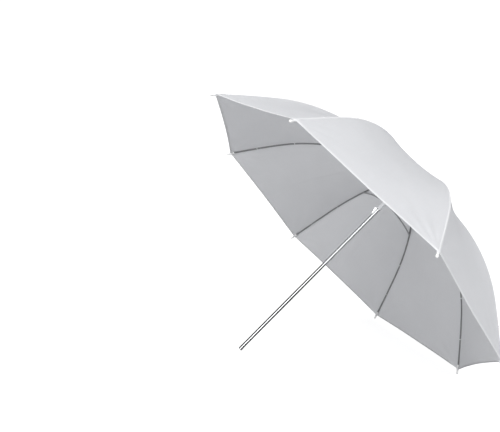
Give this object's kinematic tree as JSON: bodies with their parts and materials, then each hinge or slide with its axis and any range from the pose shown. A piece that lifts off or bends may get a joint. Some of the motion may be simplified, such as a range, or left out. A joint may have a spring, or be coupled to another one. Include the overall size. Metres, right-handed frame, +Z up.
{
  "type": "umbrella reflector",
  "caption": "Open white shoot-through photographic umbrella with fluted ribs, bowed stretchers, sliding runner, spring catch and bare chrome shaft; it folds shut.",
  "frame": {"origin": "middle of the whole open umbrella's box, on the surface it stands on: two lowest rib tips and the shaft's cut end touch Z = 0", "axes": "+Z up; the shaft lies in the XZ plane and leans up towards +X from its cut end to the crown; +Y runs across the canopy, parallel to the line through the two tips that touch the surface"},
  "size_m": [0.607, 0.7782, 0.5192],
  "materials": {
    "canopy_fabric": "thin white translucent plain-weave nylon",
    "rib_steel": "dark grey semi-gloss coating on steel channel",
    "rivet_steel": "zinc-plated",
    "wire_steel": "drawn steel wire, plain",
    "shaft_chrome": "bright chrome plate",
    "tip_plastic": "moulded white, slight gloss",
    "runner_plastic": "moulded frosted white"
  },
  "bodies": {
    "shaft": {"shaft": "shaft_chrome", "crown_disc": "runner_plastic", "crown_wire": "wire_steel", "crown_pin": "wire_steel", "crown_rosette": "canopy_fabric", "ferrule": "shaft_chrome", "catch_pin": "wire_steel", "catch_spring": "wire_steel"},
    "runner": {"runner": "runner_plastic", "runner_wire": "wire_steel"},
    "catch": {"catch": "shaft_chrome"},
    "rib_1": {"rib_1": "rib_steel", "tip_1": "tip_plastic", "rib_rivet_1": "rivet_steel"},
    "stretcher_1": {"stretcher_1": "rib_steel"},
    "gore_1": {"gore_1": "canopy_fabric"},
    "rib_2": {"rib_2": "rib_steel", "tip_2": "tip_plastic", "rib_rivet_2": "rivet_steel"},
    "stretcher_2": {"stretcher_2": "rib_steel"},
    "gore_2": {"gore_2": "canopy_fabric"},
    "rib_3": {"rib_3": "rib_steel", "tip_3": "tip_plastic", "rib_rivet_3": "rivet_steel"},
    "stretcher_3": {"stretcher_3": "rib_steel"},
    "gore_3": {"gore_3": "canopy_fabric"},
    "rib_4": {"rib_4": "rib_steel", "tip_4": "tip_plastic", "rib_rivet_4": "rivet_steel"},
    "stretcher_4": {"stretcher_4": "rib_steel"},
    "gore_4": {"gore_4": "canopy_fabric"},
    "rib_5": {"rib_5": "rib_steel", "tip_5": "tip_plastic", "rib_rivet_5": "rivet_steel"},
    "stretcher_5": {"stretcher_5": "rib_steel"},
    "gore_5": {"gore_5": "canopy_fabric"},
    "rib_6": {"rib_6": "rib_steel", "tip_6": "tip_plastic", "rib_rivet_6": "rivet_steel"},
    "stretcher_6": {"stretcher_6": "rib_steel"},
    "gore_6": {"gore_6": "canopy_fabric"},
    "rib_7": {"rib_7": "rib_steel", "tip_7": "tip_plastic", "rib_rivet_7": "rivet_steel"},
    "stretcher_7": {"stretcher_7": "rib_steel"},
    "gore_7": {"gore_7": "canopy_fabric"},
    "rib_8": {"rib_8": "rib_steel", "tip_8": "tip_plastic", "rib_rivet_8": "rivet_steel"},
    "stretcher_8": {"stretcher_8": "rib_steel"},
    "gore_8": {"gore_8": "canopy_fabric"}
  },
  "joints": [
    {"name": "fold", "type": "hinge", "parent": "shaft", "child": "rib_1", "pos_m": [0.14406, 0.00325, 0.41179], "axis": [-0.2975, 0.9239, 0.2407], "range_deg": [0, 60], "deforming": ["gore_1", "gore_2", "gore_3", "gore_4", "gore_5", "gore_6", "gore_7", "gore_8", "catch"]},
    {"name": "stretcher_1_hinge", "type": "hinge", "parent": "rib_1", "child": "stretcher_1", "pos_m": [0.25797, 0.07786, 0.26624], "axis": [-0.2975, 0.9239, 0.2407], "range_deg": [-120, 0]},
    {"name": "runner_hinge", "type": "hinge", "parent": "stretcher_1", "child": "runner", "pos_m": [0.09185, 0.00325, 0.34726], "axis": [-0.2975, 0.9239, 0.2407], "range_deg": [0, 60]},
    {"name": "rib_2_hinge", "type": "hinge", "parent": "shaft", "child": "rib_2", "pos_m": [0.14049, 0.00785, 0.41469], "axis": [-0.7182, 0.3827, 0.5811], "range_deg": [0, 60]},
    {"name": "stretcher_2_hinge", "type": "hinge", "parent": "rib_2", "child": "stretcher_2", "pos_m": [0.17237, 0.18796, 0.3355], "axis": [-0.7182, 0.3827, 0.5811], "range_deg": [-120, 0]},
    {"name": "rib_3_hinge", "type": "hinge", "parent": "shaft", "child": "rib_3", "pos_m": [0.13543, 0.00785, 0.41878], "axis": [-0.7182, -0.3827, 0.5811], "range_deg": [0, 60]},
    {"name": "stretcher_3_hinge", "type": "hinge", "parent": "rib_3", "child": "stretcher_3", "pos_m": [0.05133, 0.18796, 0.43344], "axis": [-0.7182, -0.3827, 0.5811], "range_deg": [-120, 0]},
    {"name": "rib_4_hinge", "type": "hinge", "parent": "shaft", "child": "rib_4", "pos_m": [0.13185, 0.00325, 0.42167], "axis": [-0.2975, -0.9239, 0.2407], "range_deg": [0, 60]},
    {"name": "stretcher_4_hinge", "type": "hinge", "parent": "rib_4", "child": "stretcher_4", "pos_m": [-0.03427, 0.07786, 0.5027], "axis": [-0.2975, -0.9239, 0.2407], "range_deg": [-120, 0]},
    {"name": "rib_5_hinge", "type": "hinge", "parent": "shaft", "child": "rib_5", "pos_m": [0.13185, -0.00325, 0.42167], "axis": [0.2975, -0.9239, -0.2407], "range_deg": [0, 60]},
    {"name": "stretcher_5_hinge", "type": "hinge", "parent": "rib_5", "child": "stretcher_5", "pos_m": [-0.03427, -0.07786, 0.5027], "axis": [0.2975, -0.9239, -0.2407], "range_deg": [-120, 0]},
    {"name": "rib_6_hinge", "type": "hinge", "parent": "shaft", "child": "rib_6", "pos_m": [0.13543, -0.00785, 0.41878], "axis": [0.7182, -0.3827, -0.5811], "range_deg": [0, 60]},
    {"name": "stretcher_6_hinge", "type": "hinge", "parent": "rib_6", "child": "stretcher_6", "pos_m": [0.05133, -0.18796, 0.43344], "axis": [0.7182, -0.3827, -0.5811], "range_deg": [-120, 0]},
    {"name": "rib_7_hinge", "type": "hinge", "parent": "shaft", "child": "rib_7", "pos_m": [0.14049, -0.00785, 0.41469], "axis": [0.7182, 0.3827, -0.5811], "range_deg": [0, 60]},
    {"name": "stretcher_7_hinge", "type": "hinge", "parent": "rib_7", "child": "stretcher_7", "pos_m": [0.17237, -0.18796, 0.3355], "axis": [0.7182, 0.3827, -0.5811], "range_deg": [-120, 0]},
    {"name": "rib_8_hinge", "type": "hinge", "parent": "shaft", "child": "rib_8", "pos_m": [0.14406, -0.00325, 0.41179], "axis": [0.2975, 0.9239, -0.2407], "range_deg": [0, 60]},
    {"name": "stretcher_8_hinge", "type": "hinge", "parent": "rib_8", "child": "stretcher_8", "pos_m": [0.25797, -0.07786, 0.26624], "axis": [0.2975, 0.9239, -0.2407], "range_deg": [-120, 0]},
    {"name": "gore_1_hinge", "type": "hinge", "parent": "shaft", "child": "gore_1", "pos_m": [0.14228, 0.00555, 0.41324], "axis": [-0.5497, 0.7071, 0.4448], "range_deg": [0, 57.5]},
    {"name": "gore_2_hinge", "type": "hinge", "parent": "shaft", "child": "gore_2", "pos_m": [0.13796, 0.00785, 0.41673], "axis": [-0.7774, 0, 0.629], "range_deg": [0, 57.5]},
    {"name": "gore_3_hinge", "type": "hinge", "parent": "shaft", "child": "gore_3", "pos_m": [0.13364, 0.00555, 0.42023], "axis": [-0.5497, -0.7071, 0.4448], "range_deg": [0, 57.5]},
    {"name": "gore_4_hinge", "type": "hinge", "parent": "shaft", "child": "gore_4", "pos_m": [0.13185, 0, 0.42167], "axis": [0, -1, 0], "range_deg": [0, 57.5]},
    {"name": "gore_5_hinge", "type": "hinge", "parent": "shaft", "child": "gore_5", "pos_m": [0.13364, -0.00555, 0.42023], "axis": [0.5497, -0.7071, -0.4448], "range_deg": [0, 57.5]},
    {"name": "gore_6_hinge", "type": "hinge", "parent": "shaft", "child": "gore_6", "pos_m": [0.13796, -0.00785, 0.41673], "axis": [0.7774, 0, -0.629], "range_deg": [0, 57.5]},
    {"name": "gore_7_hinge", "type": "hinge", "parent": "shaft", "child": "gore_7", "pos_m": [0.14228, -0.00555, 0.41324], "axis": [0.5497, 0.7071, -0.4448], "range_deg": [0, 57.5]},
    {"name": "gore_8_hinge", "type": "hinge", "parent": "shaft", "child": "gore_8", "pos_m": [0.14406, 0, 0.41179], "axis": [0, 1, 0], "range_deg": [0, 57.5]},
    {"name": "catch_press", "type": "hinge", "parent": "shaft", "child": "catch", "pos_m": [0.05977, 0.00042, 0.32078], "axis": [0.5497, 0.7071, -0.4448], "range_deg": [0, 15.5], "stiffness_Nm_per_rad": 0.02, "springref_deg": -5.73, "deforming": ["catch_spring"]}
  ],
  "couplings": [
    {"joint": "stretcher_1_hinge", "follows": "fold", "ratio": -2},
    {"joint": "runner_hinge", "follows": "fold", "ratio": 1},
    {"joint": "rib_2_hinge", "follows": "fold", "ratio": 1},
    {"joint": "stretcher_2_hinge", "follows": "fold", "ratio": -2},
    {"joint": "rib_3_hinge", "follows": "fold", "ratio": 1},
    {"joint": "stretcher_3_hinge", "follows": "fold", "ratio": -2},
    {"joint": "rib_4_hinge", "follows": "fold", "ratio": 1},
    {"joint": "stretcher_4_hinge", "follows": "fold", "ratio": -2},
    {"joint": "rib_5_hinge", "follows": "fold", "ratio": 1},
    {"joint": "stretcher_5_hinge", "follows": "fold", "ratio": -2},
    {"joint": "rib_6_hinge", "follows": "fold", "ratio": 1},
    {"joint": "stretcher_6_hinge", "follows": "fold", "ratio": -2},
    {"joint": "rib_7_hinge", "follows": "fold", "ratio": 1},
    {"joint": "stretcher_7_hinge", "follows": "fold", "ratio": -2},
    {"joint": "rib_8_hinge", "follows": "fold", "ratio": 1},
    {"joint": "stretcher_8_hinge", "follows": "fold", "ratio": -2},
    {"joint": "gore_1_hinge", "follows": "fold", "ratio": 0.95},
    {"joint": "gore_2_hinge", "follows": "fold", "ratio": 0.95},
    {"joint": "gore_3_hinge", "follows": "fold", "ratio": 0.95},
    {"joint": "gore_4_hinge", "follows": "fold", "ratio": 0.95},
    {"joint": "gore_5_hinge", "follows": "fold", "ratio": 0.95},
    {"joint": "gore_6_hinge", "follows": "fold", "ratio": 0.95},
    {"joint": "gore_7_hinge", "follows": "fold", "ratio": 0.95},
    {"joint": "gore_8_hinge", "follows": "fold", "ratio": 0.95}
  ]
}
